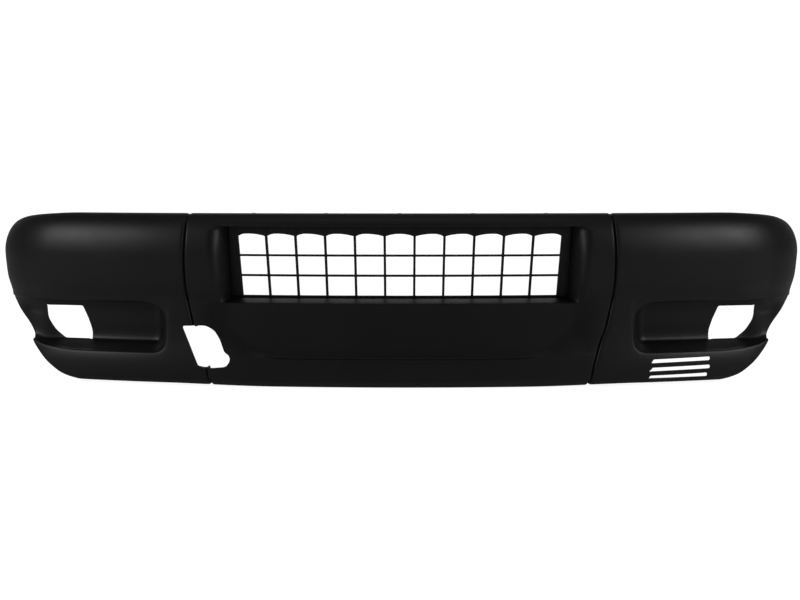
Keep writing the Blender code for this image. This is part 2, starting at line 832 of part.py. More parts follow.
def joint_bracket(name, side, finish):
    """Steel bracket between the two joint flanges, with a foot towards the vehicle's crossmember."""
    sections = []
    count = 9
    for k in range(count):
        z = mix(BRACKET_BOTTOM, BRACKET_TOP, k / (count - 1))
        s = seam(z)
        near = skin(z) + 0.009
        half = STEEL / 2
        outline = [
            (s + half, near),
            (s + half, SEAM_BRACKET_DEPTH),
            (s - FOOT_WIDTH, SEAM_BRACKET_DEPTH),
            (s - FOOT_WIDTH, SEAM_BRACKET_DEPTH - STEEL),
            (s - half, SEAM_BRACKET_DEPTH - STEEL),
            (s - half, near),
        ]
        sections.append([place(side * s, o, z) for s, o in outline])
    return add(name, swept(sections), finish)


def flange_angle(name, start, end, count, finish):
    """Steel angle under the top flange from s = start to end."""
    front = CROWN_DEPTH + 0.009
    back = CROWN_DEPTH + TOP_FLANGE - 0.001
    sections = []
    for k in range(count):
        s = mix(start, end, k / (count - 1))
        level = trim(s, HEIGHT - FLANGE_STEP) - WALL - FIT_GAP
        outline = [
            (front, level),
            (back, level),
            (back, level - LEG),
            (back - STEEL, level - LEG),
            (back - STEEL, level - STEEL),
            (front, level - STEEL),
        ]
        sections.append([place(s, o, z) for o, z in outline])
    return add(name, swept(sections), finish)


def lower_stay(name, side, finish):
    """Steel stay from the bottom flange back and up to a foot on the vehicle."""
    low = FLANGE_STEP + WALL + FIT_GAP
    front = CHIN_RADIUS + 0.010
    outline = [
        (front, low),
        (STAY_DEPTH, low),
        (STAY_DEPTH, STAY_HEIGHT),
        (STAY_DEPTH - STEEL, STAY_HEIGHT),
        (STAY_DEPTH - STEEL, low + STEEL),
        (front, low + STEEL),
    ]
    sections = []
    for share in (-0.5, 0.5):
        s = side * (STAY_SPACING / 2 + share * STAY_WIDTH)
        sections.append([place(s, o, z) for o, z in outline])
    return add(name, swept(sections), finish)


# ---------------------------------------------------------------------------
# Fasteners


def hole(targets, name, centre, axis, radius, length):
    """Round hole through every target, starting at centre."""
    made = cutter("cut_" + name, cylinder(centre, axis, radius, length))
    for target in targets:
        boolean(target, made)


def screw(name, centre, axis, length, finish):
    """Pan-head screw; centre is under its head and axis points to its tip."""
    profile = [
        (SCREW_HEAD * 0.62, -SCREW_HEAD_HEIGHT),
        (SCREW_HEAD * 0.92, -SCREW_HEAD_HEIGHT * 0.6),
        (SCREW_HEAD, 0.0),
        (SCREW_RADIUS, 0.0),
        (SCREW_RADIUS, length - SCREW_RADIUS),
        (SCREW_RADIUS * 0.4, length),
    ]
    return turned(name, profile, centre, axis, finish, SCREW_ROUND)


def joint_fasteners(side, word, cap, cover, bracket, finish):
    """Bolts and nuts through both joint flanges and the bracket between them."""
    for number, height in enumerate(BOLT_HEIGHTS, 1):
        inwards = Vector(fold_of(height, skin(height), 1.0)).normalized() * BOLT_INSET

        def at(z, extra=0.0):
            return place(side * seam(z), skin(height) + inwards.x + extra, z)

        z = height + inwards.y
        up = at(z + 0.003) - at(z - 0.003)
        back = at(z, 0.01) - at(z)
        across = up.cross(back).normalized()
        if across.x * side > 0:
            across = -across
        stack = SHUT_LINE / 2 + WALL + FIT_GAP
        head = at(z) - across * stack
        reach = 2 * stack + NUT_HEIGHT + 0.003
        head_flats = [(BOLT_HEAD, -BOLT_HEAD_HEIGHT), (BOLT_HEAD, -0.0004)]
        profile = head_flats + [(BOLT_HEAD * 0.9, 0.0), (BOLT_RADIUS, 0.0)]
        profile += [(BOLT_RADIUS, reach - 0.001), (BOLT_RADIUS * 0.7, reach)]
        turned(f"{word}_joint_bolt_{number}", profile, head, across, finish, flats=head_flats)
        nut_flats = [(BOLT_HEAD, 0.0005), (BOLT_HEAD, NUT_HEIGHT)]
        bore = BOLT_RADIUS + FIT_GAP
        nut = tube([(bore, 0.0), (BOLT_HEAD * 0.9, 0.0)] + nut_flats + [(bore, NUT_HEIGHT)], nut_flats)
        nut = add(f"{word}_joint_nut_{number}", nut, finish)
        nut.location = at(z) + across * stack
        nut.rotation_mode = "QUATERNION"
        nut.rotation_quaternion = across.to_track_quat("Z", "Y")
        radius = BOLT_RADIUS + HOLE_GAP
        start = head - across * 0.001
        hole((cap, cover, bracket), f"{word}_joint_{number}", start, across, radius, 2 * stack + 0.002)


def tube(profile, flats, sides=ROUND):
    """Ring turned from a closed (radius, height) profile."""
    bm = bmesh.new()
    rings = []
    for radius, height in profile:
        ring = []
        for k in range(sides):
            angle = 2 * math.pi * k / sides
            reach = radius
            if (radius, height) in flats:
                off = (angle % (math.pi / 3)) - math.pi / 6
                reach = radius * math.cos(math.pi / 6) / math.cos(off)
            ring.append(bm.verts.new((reach * math.cos(angle), reach * math.sin(angle), height)))
        rings.append(ring)
    for low, high in zip(rings, rings[1:] + rings[:1]):
        for k in range(sides):
            after = (k + 1) % sides
            bm.faces.new((low[k], low[after], high[after], high[k]))
    bmesh.ops.recalc_face_normals(bm, faces=bm.faces)
    return bm


def top_screws(words, runs, targets, finish):
    """Screws down through the top flange and the angle under it."""
    o = CROWN_DEPTH + TOP_FLANGE * 0.6

    def at(s):
        return place(s, o, trim(s, HEIGHT - FLANGE_STEP))

    for word, s in zip(words, runs):
        along = at(s + 0.004) - at(s - 0.004)
        down = along.cross(place(s, o + 0.01, 0) - place(s, o, 0))
        down *= -1 if down.z > 0 else 1
        down.normalize()
        screw(word, at(s) - down * FIT_GAP, down, 0.014, finish)
        hole(targets, word, at(s) - down * 0.0015, down, SCREW_RADIUS + HOLE_GAP, 0.010)


def grille_screws(cover, insert, finish):
    """Screws through the duct into the frame of the grille: four from above and one from each side."""
    depth = DUCT_DEPTH - GRILLE_LEAN - 0.004 + GRILLE_DEPTH / 2
    places = []
    for share in (-0.9, -0.3, 0.3, 0.9):
        centre = place(share * GRILLE_HALF_TOP, depth, MOUTH_TOP + WALL + FIT_GAP)
        places.append((centre, Vector((0, 0, -1))))
    z = (MOUTH_TOP + LIP_HEIGHT) / 2
    lean = (z - LIP_HEIGHT) / (MOUTH_TOP - LIP_HEIGHT)
    depth = DUCT_DEPTH - GRILLE_LEAN * lean - 0.004 + GRILLE_DEPTH / 2
    for side in (-1, 1):
        centre = place(side * (DUCT_HALF + WALL + 4 * FIT_GAP), depth, z)
        places.append((centre, place(side * DUCT_HALF, depth, z) - centre))
    for number, (centre, axis) in enumerate(places, 1):
        axis = axis.normalized()
        screw(f"grille_screw_{number}", centre, axis, 0.012, finish)
        start = centre - axis * 0.001
        hole((cover, insert), f"grille_{number}", start, axis, SCREW_RADIUS + HOLE_GAP, 0.014)


def main():
    clear_scene()
    plastic = material("grained_polypropylene", (0.012, 0.012, 0.013), 0.5)
    steel = material("black_coated_steel", (0.02, 0.02, 0.021), 0.4, 0.5)
    zinc = material("zinc_plated_steel", (0.45, 0.45, 0.43), 0.35, 1.0)
    cover = centre_cover(plastic)
    caps = {-1: end_cap("right_end_cap", -1, plastic), 1: end_cap("left_end_cap", 1, plastic)}
    for number, (height, start, end) in enumerate(SLOTS, 1):
        boolean(caps[1], slot_cutter(number, height, start, end))
    tow_eye = tow_eye_cutter()
    boolean(cover, tow_eye)
    boolean(caps[-1], tow_eye)
    grille_screws(cover, grille_insert(plastic), zinc)
    stiffener = flange_angle("top_stiffener", -STIFFENER_HALF, STIFFENER_HALF, 9, steel)
    runs = [share * STIFFENER_HALF * 0.92 for share in (-1, -0.5, 0, 0.5, 1)]
    top_screws([f"top_screw_{k}" for k in range(1, 6)], runs, (cover, stiffener), zinc)
    for side, word in ((-1, "right"), (1, "left")):
        bracket = joint_bracket(f"{word}_joint_bracket", side, steel)
        joint_fasteners(side, word, caps[side], cover, bracket, zinc)
        start, end = REAR_S - 0.150, REAR_S - 0.030
        strip = flange_angle(f"{word}_side_strip", side * start, side * end, 4, steel)
        runs = [side * mix(start, end, share) for share in (0.2, 0.8)]
        names = [f"{word}_side_screw_{k}" for k in (1, 2)]
        top_screws(names, runs, (caps[side], strip), zinc)
        stay = lower_stay(f"{word}_lower_stay", side, steel)
        centre = place(side * STAY_SPACING / 2, CHIN_RADIUS + 0.020, FLANGE_STEP - FIT_GAP)
        screw(f"{word}_lower_screw", centre, (0, 0, 1), 0.014, zinc)
        below = centre - Vector((0, 0, 0.001))
        hole((cover, stay), f"{word}_lower", below, (0, 0, 1), SCREW_RADIUS + HOLE_GAP, 0.010)


main()
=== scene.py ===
"""Front bumper cover of a van: three grained black mouldings, a lattice grille, and the steel
brackets, strips, bolts and screws behind them.

Frame: +X to the right of someone facing the vehicle, -Y out of the front, +Z up, in metres.
"""

import math

import bpy
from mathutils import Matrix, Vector


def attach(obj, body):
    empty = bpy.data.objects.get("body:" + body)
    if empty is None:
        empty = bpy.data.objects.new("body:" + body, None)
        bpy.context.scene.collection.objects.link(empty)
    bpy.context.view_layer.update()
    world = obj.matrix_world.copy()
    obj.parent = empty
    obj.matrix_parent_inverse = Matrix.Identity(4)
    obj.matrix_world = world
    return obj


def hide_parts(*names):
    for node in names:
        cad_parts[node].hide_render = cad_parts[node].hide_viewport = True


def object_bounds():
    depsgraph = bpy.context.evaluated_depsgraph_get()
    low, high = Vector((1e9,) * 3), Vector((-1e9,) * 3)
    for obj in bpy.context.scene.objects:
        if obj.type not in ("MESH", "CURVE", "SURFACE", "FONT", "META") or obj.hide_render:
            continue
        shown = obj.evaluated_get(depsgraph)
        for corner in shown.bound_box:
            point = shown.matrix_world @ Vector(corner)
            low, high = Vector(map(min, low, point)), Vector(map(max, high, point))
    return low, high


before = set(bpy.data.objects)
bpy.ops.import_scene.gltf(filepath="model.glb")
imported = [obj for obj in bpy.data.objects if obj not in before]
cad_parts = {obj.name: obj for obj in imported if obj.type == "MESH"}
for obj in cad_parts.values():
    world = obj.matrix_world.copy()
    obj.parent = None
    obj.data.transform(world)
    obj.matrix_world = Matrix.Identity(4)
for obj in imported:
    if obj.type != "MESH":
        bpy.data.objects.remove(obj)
cad_box = [list(corner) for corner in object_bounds()]


# ---------------------------------------------------------------------------
# Studio: a white paper sweep under and behind the cover, a soft box at each side, a weak overhead
# light and a strip behind. The camera stands in front, a little above the upper edge.

SWEEP_WIDTH = 16.0
SWEEP_FRONT = -4.0
SWEEP_BACK = 7.5
SWEEP_HEIGHT = 7.0
SWEEP_TURN = 1.5  # radius where the paper turns up
PAPER_GLOW = 0.92  # the paper glows for the camera and for diffuse light, but not in reflections
WORLD_DIM = 0.05  # strength of the world as a light; the camera sees it white

CAMERA_PLACE = (0.030, -3.810, 0.470)
CAMERA_PITCH = -0.0739
CAMERA_YAW = math.atan(0.030 / 3.77)
CAMERA_LENS = 71.4  # on a 36 mm sensor


def linear(colour):
    """A linear RGBA colour from an sRGB hex string."""
    channels = [int(colour[k : k + 2], 16) / 255 for k in (0, 2, 4)]
    return (*(c / 12.92 if c <= 0.04045 else ((c + 0.055) / 1.055) ** 2.4 for c in channels), 1.0)


def add_node(material, kind, settings=None, links=None):
    """Adds a shader node with its settings, and links its sockets from (node, output) pairs."""
    node = material.node_tree.nodes.new(kind)
    for name, value in (settings or {}).items():
        if hasattr(node, name):
            setattr(node, name, value)
        else:
            node.inputs[name].default_value = value
    for name, (source, output) in (links or {}).items():
        material.node_tree.links.new(source.outputs[output], node.inputs[name])
    return node


def deselect():
    if bpy.context.mode != "OBJECT":
        bpy.ops.object.mode_set(mode="OBJECT")
    bpy.ops.object.select_all(action="DESELECT")


deselect()
bpy.ops.mesh.primitive_plane_add(size=1)
sweep = bpy.context.active_object
sweep.name = "paper_sweep"
for vertex in sweep.data.vertices:
    vertex.co.x *= SWEEP_WIDTH
    vertex.co.y = SWEEP_BACK if vertex.co.y > 0 else SWEEP_FRONT
bpy.ops.object.mode_set(mode="EDIT")
bpy.ops.mesh.select_all(action="DESELECT")
bpy.ops.object.mode_set(mode="OBJECT")
for edge in sweep.data.edges:
    ends = [sweep.data.vertices[k] for k in edge.vertices]
    edge.select = all(end.co.y > 0 for end in ends)
bpy.ops.object.mode_set(mode="EDIT")
bpy.ops.mesh.select_mode(type="EDGE")
bpy.ops.mesh.extrude_region_move(TRANSFORM_OT_translate={"value": (0, 0, SWEEP_HEIGHT)})
bpy.ops.object.mode_set(mode="OBJECT")
turn = sweep.modifiers.new("turn", "BEVEL")
turn.width = SWEEP_TURN
turn.segments = 24
turn.limit_method = "ANGLE"
bpy.ops.object.modifier_apply(modifier="turn")
bpy.ops.object.shade_smooth()
paper = bpy.data.materials.new("white_background_paper")
paper.use_nodes = True
shader = paper.node_tree.nodes["Principled BSDF"]
shader.inputs["Base Color"].default_value = linear("b0b0b0")
shader.inputs["Roughness"].default_value = 0.9
shader.inputs["Specular IOR Level"].default_value = 0.1
shader.inputs["Emission Color"].default_value = linear("ffffff")
glow = add_node(paper, "ShaderNodeMath", {"operation": "MULTIPLY_ADD"})
glow.inputs[1].default_value = -PAPER_GLOW
glow.inputs[2].default_value = PAPER_GLOW
rays = add_node(paper, "ShaderNodeLightPath")
paper.node_tree.links.new(rays.outputs["Is Glossy Ray"], glow.inputs[0])
paper.node_tree.links.new(glow.outputs[0], shader.inputs["Emission Strength"])
sweep.data.materials.append(paper)

world = bpy.data.worlds.new("studio")
bpy.context.scene.world = world
world.use_nodes = True
world.node_tree.nodes["Background"].inputs["Color"].default_value = linear("ffffff")
dim = add_node(world, "ShaderNodeMath", {"operation": "MULTIPLY_ADD"})
dim.inputs[1].default_value = 1 - WORLD_DIM
dim.inputs[2].default_value = WORLD_DIM
seen = add_node(world, "ShaderNodeLightPath")
world.node_tree.links.new(seen.outputs["Is Camera Ray"], dim.inputs[0])
world.node_tree.links.new(dim.outputs[0], world.node_tree.nodes["Background"].inputs["Strength"])

for name, place_at, aim, size, power in (
    ("left_soft_box", (-3.1, -1.45, 1.65), (-0.70, 0.0, 0.30), (1.1, 1.0), 20),
    ("right_soft_box", (3.1, -1.45, 1.65), (0.70, 0.0, 0.30), (1.1, 1.0), 20),
    ("overhead", (0.0, -0.8, 3.6), (0.0, 0.0, 0.20), (3.0, 1.2), 4),
    ("rear_strip", (0.0, 2.4, 2.2), (0.0, 0.0, 0.20), (3.2, 0.9), 5),
):
    deselect()
    bpy.ops.object.light_add(type="AREA", location=place_at)
    light = bpy.context.active_object
    light.name = name
    light.rotation_euler = (Vector(aim) - Vector(place_at)).to_track_quat("-Z", "Y").to_euler()
    light.data.shape = "RECTANGLE"
    light.data.size, light.data.size_y = size
    light.data.energy = power

bpy.ops.object.camera_add(location=CAMERA_PLACE)
camera = bpy.context.active_object
camera.rotation_euler = (math.pi / 2 + CAMERA_PITCH, 0, CAMERA_YAW)
camera.data.lens = CAMERA_LENS
camera.data.sensor_width = 36
camera.data.clip_end = 100
bpy.context.scene.camera = camera
bpy.context.scene.view_settings.view_transform = "Standard"


# ---------------------------------------------------------------------------
# Centre cover: the middle moulding of talc-filled polypropylene, injected in a grained steel
# mould and left unpainted. It carries the grille duct, the number plate panel and the skirt, and
# it turns inwards at both joints to the flanges that the bolts go through.

HEIGHT = cad_box[1][2]
DEPTH = cad_box[1][1] - cad_box[0][1]
FRONT_Y = cad_box[0][1]

# The curve of the whole cover seen from above: radius and heading at the end of each stretch
PLAN = (
    (2.500, math.radians(11.5)),
    (1.600, math.radians(24.0)),
    (0.275, math.radians(84.0)),
)
JOINT_S = PLAN[0][0] * PLAN[0][1]
CORNER_S = JOINT_S + PLAN[1][0] * (PLAN[1][1] - PLAN[0][1])
SIDE_S = CORNER_S + PLAN[2][0] * (PLAN[2][1] - PLAN[1][1])

WALL = 0.003
SHUT_LINE = 0.003
EDGE_RADIUS = 0.005
JOINT_FLANGE = 0.024
FLANGE_END = 0.008
FLANGE_STEP = 0.003

CROWN_DROP = 0.100
CROWN_HEIGHT = HEIGHT - CROWN_DROP
CROWN_DEPTH = 0.050
TOP_FLANGE = 0.030
TUCK_DEPTH = 0.018
TUCK_HEIGHT = 0.195
CHIN_HEIGHT = 0.045
CHIN_RADIUS = 0.018
BOTTOM_FLANGE = 0.034
SIDE_DROP = 0.027
CAP_LIFT = 0.004

MOUTH_TOP = HEIGHT - 0.031
LIP_HEIGHT = 0.192
DUCT_DEPTH = 0.075
DUCT_HALF = 0.408
DUCT_RISE = 0.0115
MOUTH_CORNER = 0.014
MOUTH_HALF_TOP = 0.449
MOUTH_HALF_BOTTOM = 0.434
PLATE_DEPTH = 0.012
SKIRT_HEIGHT = 0.064


def smooth(points, t):
    """Value at t of a smooth curve through (t, value) points that never overshoots them."""
    if t <= points[0][0]:
        return points[0][1]
    if t >= points[-1][0]:
        return points[-1][1]
    slopes = [(b[1] - a[1]) / (b[0] - a[0]) for a, b in zip(points, points[1:])]
    tangents = [slopes[0]]
    for before, after in zip(slopes, slopes[1:]):
        tangents.append(2 * before * after / (before + after) if before * after > 0 else 0.0)
    tangents.append(slopes[-1])
    k = max(i for i in range(len(slopes)) if t >= points[i][0])
    (t0, v0), (t1, v1) = points[k], points[k + 1]
    width = t1 - t0
    u = (t - t0) / width
    return (
        v0 * (1 + 2 * u) * (1 - u) ** 2
        + tangents[k] * width * u * (1 - u) ** 2
        + v1 * u * u * (3 - 2 * u)
        + tangents[k + 1] * width * u * u * (u - 1)
    )


def ease(t):
    """0 to 1 with flat ends."""
    t = min(1.0, max(0.0, t))
    return t * t * (3 - 2 * t)


def mix(a, b, share):
    return a + (b - a) * share


def plan(s):
    """(x, depth behind the front, heading) of the plan curve, s along it from the middle."""
    x = depth = start = heading = 0.0
    for radius, end in PLAN:
        turn = min(s - start, radius * (end - heading)) / radius
        x += radius * (math.sin(heading + turn) - math.sin(heading))
        depth += radius * (math.cos(heading) - math.cos(heading + turn))
        start += radius * turn
        heading += turn
        if heading < end - 1e-9:
            return x, depth, heading
    x += (s - start) * math.cos(heading)
    depth += (s - start) * math.sin(heading)
    return x, depth, heading


def place(s, o, z):
    """Point at s along the plan curve, o inwards from it and z up; s is negative on the left."""
    x, depth, heading = plan(abs(s))
    x -= o * math.sin(heading)
    depth += o * math.cos(heading)
    return Vector((math.copysign(x, s), FRONT_Y + depth, z))


def rear_run():
    """The s of the rear end, where the inner edge of the top flange reaches the full depth."""
    _, depth, heading = plan(SIDE_S)
    flange = (CROWN_DEPTH + TOP_FLANGE) * math.cos(heading)
    return SIDE_S + (DEPTH - flange - depth) / math.sin(heading)


REAR_S = rear_run()


def seam(z):
    """s of the joint line at height z."""
    line = ((0, -0.062), (0.19, -0.043), (0.37, -0.015), (0.51, -0.002), (0.65, 0.0), (1, -0.001))
    return JOINT_S + smooth(line, z / HEIGHT)


def skin(z):
    """Depth o of the outer surface at height z."""
    if z >= CROWN_HEIGHT:
        share = min(1.0, (z - CROWN_HEIGHT) / CROWN_DROP)
        return CROWN_DEPTH * (1 - math.sqrt(1 - share * share))
    middle = (TUCK_HEIGHT + CHIN_HEIGHT) / 2
    line = (
        (CHIN_HEIGHT, 0.0),
        (middle, TUCK_DEPTH * 0.65),
        (TUCK_HEIGHT, TUCK_DEPTH),
        (mix(TUCK_HEIGHT, CROWN_HEIGHT, 0.4), TUCK_DEPTH * 0.35),
        (CROWN_HEIGHT, 0.0),
    )
    return smooth(line, z)


def trim(s, z):
    """Height after the upper edge falls round the side and the lower edge rises."""
    s = abs(s)
    if z > CROWN_HEIGHT:
        fall = ((CORNER_S - 0.03, 0), (CORNER_S + 0.11, 0.26), (SIDE_S - 0.045, 0.7), (REAR_S, 1))
        return z - SIDE_DROP * smooth(fall, s) * (z - CROWN_HEIGHT) / CROWN_DROP
    if z < CHIN_HEIGHT:
        return z + CAP_LIFT * ease((s - 0.30) / 0.25) * (1 - z / CHIN_HEIGHT)
    return z


def top_rows(angles):
    """Section rows from the rear of the top flange down the crown; 0 degrees is foremost."""
    level = HEIGHT - FLANGE_STEP
    rows = [(CROWN_DEPTH + TOP_FLANGE, level), (CROWN_DEPTH + 0.016, level)]
    rows += [(CROWN_DEPTH + 0.005, level), (CROWN_DEPTH + 0.002, level + 0.001)]
    for angle in angles:
        turn = math.radians(angle)
        rows.append((CROWN_DEPTH * (1 - math.cos(turn)), CROWN_HEIGHT + CROWN_DROP * math.sin(turn)))
    return rows


def bottom_rows():
    """Section rows from the chin to the rear of the bottom flange."""
    rows = [(0.0, CHIN_RADIUS * 1.35)]
    for angle in (10, 35, 60, 85):
        turn = math.radians(angle)
        rows.append((CHIN_RADIUS * (1 - math.cos(turn)), CHIN_RADIUS * (1 - math.sin(turn))))
    rows += [(CHIN_RADIUS + 0.002, 0.0006), (CHIN_RADIUS + 0.006, FLANGE_STEP)]
    rows += [(CHIN_RADIUS + 0.012, FLANGE_STEP), (CHIN_RADIUS + BOTTOM_FLANGE, FLANGE_STEP)]
    return rows


def fold_of(z, o, reach):
    """(do, dz) from an edge point of the section to the inner rim of its joint flange."""
    if z > CROWN_HEIGHT and o > CROWN_DEPTH + 0.001:
        return 0.0, -FLANGE_END
    if z >= CROWN_HEIGHT:
        angle = math.asin(min(1.0, (z - CROWN_HEIGHT) / CROWN_DROP))
        length = mix(reach, FLANGE_END * 1.4, ease(math.degrees(angle) / 80))
        return length * math.cos(angle), -length * math.sin(angle)
    if z > CHIN_RADIUS + 0.001:
        length = mix(CHIN_RADIUS, reach, ease((z - CHIN_RADIUS) / CHIN_RADIUS / 2))
        return min(length, reach), 0.0
    if o > CHIN_RADIUS - 0.001:
        return 0.0, FLANGE_END
    lean = math.atan2(CHIN_RADIUS - z, CHIN_RADIUS - o)
    length = mix(CHIN_RADIUS * 0.8, FLANGE_END, lean / (math.pi / 2))
    return length * math.cos(lean), length * math.sin(lean)


def mouth_half(z):
    """Half width of the grille mouth at height z, with its rounded upper corners."""
    z = min(MOUTH_TOP, max(LIP_HEIGHT, z))
    half = mix(MOUTH_HALF_BOTTOM, MOUTH_HALF_TOP, (z - LIP_HEIGHT) / (MOUTH_TOP - LIP_HEIGHT))
    turn = 1 - min(MOUTH_CORNER, MOUTH_TOP - z) / MOUTH_CORNER
    return half - MOUTH_CORNER * (1 - math.sqrt(1 - turn * turn))


def horn(share):
    """Depth share of the duct's side wall, which rolls inwards from the mouth like a horn."""
    return 1 - math.sqrt(1 - min(1.0, max(0.0, share)) ** 2)


def valley(s):
    """Height of the valley at the foot of the number plate panel."""
    line = (
        (0.27, SKIRT_HEIGHT + 0.003),
        (0.325, SKIRT_HEIGHT + 0.014),
        (0.360, SKIRT_HEIGHT + 0.034),
        (0.400, SKIRT_HEIGHT + 0.070),
        (0.455, LIP_HEIGHT - 0.020),
    )
    return smooth(line, abs(s))


def centre_rows(s, duct):
    """Rows (o, z) of the centre cover at s. duct is the depth share of the grille duct there."""
    radius = EDGE_RADIUS
    rows = top_rows((90, 82, 72, 64, 56))
    span = MOUTH_TOP - LIP_HEIGHT
    sunk = PLATE_DEPTH * ease((0.470 - abs(s)) / 0.07)
    lip = skin(LIP_HEIGHT) + sunk
    square = ease(duct / 0.35)

    def back(z):
        return mix(skin(z), DUCT_DEPTH, duct)

    def edge(flat, deep, roll):
        """Edge row whose height goes from flat to deep as the duct starts."""
        z = mix(flat, deep, square)
        return min(skin(z) + roll * square, back(z)), z

    rows.append((skin(MOUTH_TOP + radius * 2), MOUTH_TOP + radius * 2))
    rows.append((skin(MOUTH_TOP + radius), MOUTH_TOP + radius))
    rows.append(edge(MOUTH_TOP + radius * 0.4, MOUTH_TOP + radius * 0.25, radius * 0.25))
    rows.append(edge(MOUTH_TOP - radius * 0.2, MOUTH_TOP, radius))
    rows.append(edge(MOUTH_TOP - radius * 0.8, MOUTH_TOP, radius * 2.2))
    rows.append(edge(MOUTH_TOP - radius * 1.4, MOUTH_TOP, DUCT_DEPTH - radius))
    rows.append(edge(MOUTH_TOP - radius * 2.0, MOUTH_TOP, DUCT_DEPTH))
    for share in (0.10, 0.25, 0.42, 0.60, 0.78):
        z = MOUTH_TOP - span * share
        rows.append((back(z), z))
    rows.append((back(LIP_HEIGHT + 0.014) + sunk * 0.4 * (1 - duct), LIP_HEIGHT + 0.014))
    deep = max(back(LIP_HEIGHT + radius), lip)
    rise = mix(radius * 0.35, DUCT_RISE, (deep - lip) / (DUCT_DEPTH - lip))
    rows.append((deep, LIP_HEIGHT + mix(radius * 1.3, rise, square)))
    rows.append((mix(lip, deep, 0.6), LIP_HEIGHT + mix(radius * 0.9, rise * 0.8, square)))
    rows.append((lip + min(radius * 1.2, (deep - lip) * 0.3), LIP_HEIGHT + radius * 0.3))
    rows.append((lip + radius * 0.2 * square, LIP_HEIGHT - radius * 0.15))
    rows.append((lip - 0.0004 * square, LIP_HEIGHT - radius * 0.9))
    rows.append((lip, LIP_HEIGHT - radius * 1.8))
    low = valley(s)
    for share in (0.22, 0.45, 0.68, 0.86, 1.0):
        z = mix(LIP_HEIGHT - radius * 1.8, low, share)
        rows.append((skin(z) + sunk, z))
    crease = SKIRT_HEIGHT + 0.013 * ease((abs(s) - 0.29) / 0.15)
    rows.append((skin(mix(low, crease, 0.5)) + mix(sunk, 0.0015, 0.5), mix(low, crease, 0.5)))
    rows.append((skin(crease) + 0.0015, crease + 0.001))
    rows.append((skin(crease), crease - 0.003))
    rows.append((skin(crease - 0.008), crease - 0.008))
    rows.append((skin(CHIN_HEIGHT), mix(CHIN_HEIGHT, CHIN_RADIUS * 1.35, 0.3)))
    rows += bottom_rows()
    return rows


DUCT_CEILING_ROW = 15
DUCT_FLOOR_ROW = 22


def centre_grid():
    """(points, middle column, stations in half the duct) of the centre cover's outer surface."""
    inside = (0.0, 0.06, 0.12, 0.18, 0.24, 0.29, 0.33, 0.37, DUCT_HALF - 0.006, DUCT_HALF)
    kinds = [("run", v) for v in inside]
    kinds += [("horn", v) for v in (0.985, 0.93, 0.84, 0.70, 0.52, 0.32, 0.14, 0.0)]
    kinds += [("skin", v) for v in (0.2, 0.45, 0.7, 0.9, 1.0)]
    kinds += [("round", 0.4), ("round", 0.0), ("fold", 0.25), ("fold", 0.6), ("fold", 1.0)]

    def station(kind, value, z):
        """(s, duct share) of a station at height z."""
        end = seam(z) - SHUT_LINE / 2
        mouth = min(mouth_half(z), mix(DUCT_HALF, end - EDGE_RADIUS, 0.6))
        if kind == "run":
            return value, 1.0
        if kind == "horn":
            return mix(mouth, DUCT_HALF, value), horn(value)
        if kind == "skin":
            return mix(mouth, end - EDGE_RADIUS, value), 0.0
        return end, 0.0

    half = []
    for kind, value in kinds:
        guess, duct = station(kind, value, HEIGHT / 2)
        column = []
        for row, (_, z) in enumerate(centre_rows(guess, duct)):
            s, duct = station(kind, value, z)
            o, z = centre_rows(s, duct)[row]
            fold = Vector(fold_of(z, o, JOINT_FLANGE))
            if kind == "round":
                s -= EDGE_RADIUS * (0.25 + 0.3 * (value > 0))
                fold = fold.normalized() * EDGE_RADIUS * (0.25 - 0.18 * (value > 0))
            elif kind == "fold":
                near = min(EDGE_RADIUS, fold.length * 0.5)
                fold = fold.normalized() * mix(near, fold.length, (value - 0.25) / 0.75)
            else:
                fold = Vector((0, 0))
            o, z = o + fold.x, z + fold.y
            column.append((s, o, z))
        half.append(column)
    left = [[(-s, o, z) for s, o, z in column] for column in reversed(half[1:])]
    points = [[place(s, o, trim(s, z)) for s, o, z in column] for column in left + half]
    return points, len(left), len(inside) - 1


def grid_panel(name, points):
    """An open panel through points[station][row], left active."""
    columns, rows = len(points), len(points[0])
    deselect()
    bpy.ops.mesh.primitive_grid_add(x_subdivisions=columns - 1, y_subdivisions=rows - 1, size=1)
    panel = bpy.context.active_object
    panel.name = name
    panel.data.materials.append(polypropylene)
    for k, vertex in enumerate(panel.data.vertices):
        vertex.co = points[k % columns][k // columns]
    panel.data.update()
    return panel


def drop_faces(panel, chosen):
    """Deletes the panel's faces whose index is in chosen."""
    bpy.ops.object.mode_set(mode="EDIT")
    bpy.ops.mesh.select_mode(type="FACE")
    bpy.ops.mesh.select_all(action="DESELECT")
    bpy.ops.object.mode_set(mode="OBJECT")
    for face in panel.data.polygons:
        face.select = face.index in chosen
    bpy.ops.object.mode_set(mode="EDIT")
    bpy.ops.mesh.delete(type="FACE")
    bpy.ops.object.mode_set(mode="OBJECT")


def face_outwards(panel):
    """Turns the faces so that, taken together, they look out of the front."""
    panel.data.update()
    if sum(face.normal.y * face.area for face in panel.data.polygons) > 0:
        bpy.ops.object.mode_set(mode="EDIT")
        bpy.ops.mesh.select_all(action="SELECT")
        bpy.ops.mesh.flip_normals()
        bpy.ops.object.mode_set(mode="OBJECT")


def apply_modifier(piece, kind, **settings):
    step = piece.modifiers.new(kind.lower(), kind)
    for name, value in settings.items():
        setattr(step, name, value)
    bpy.ops.object.modifier_apply(modifier=step.name)


def smooth_panel(panel, levels=2):
    apply_modifier(
        panel, "SUBSURF", levels=levels, render_levels=levels, boundary_smooth="PRESERVE_CORNERS"
    )


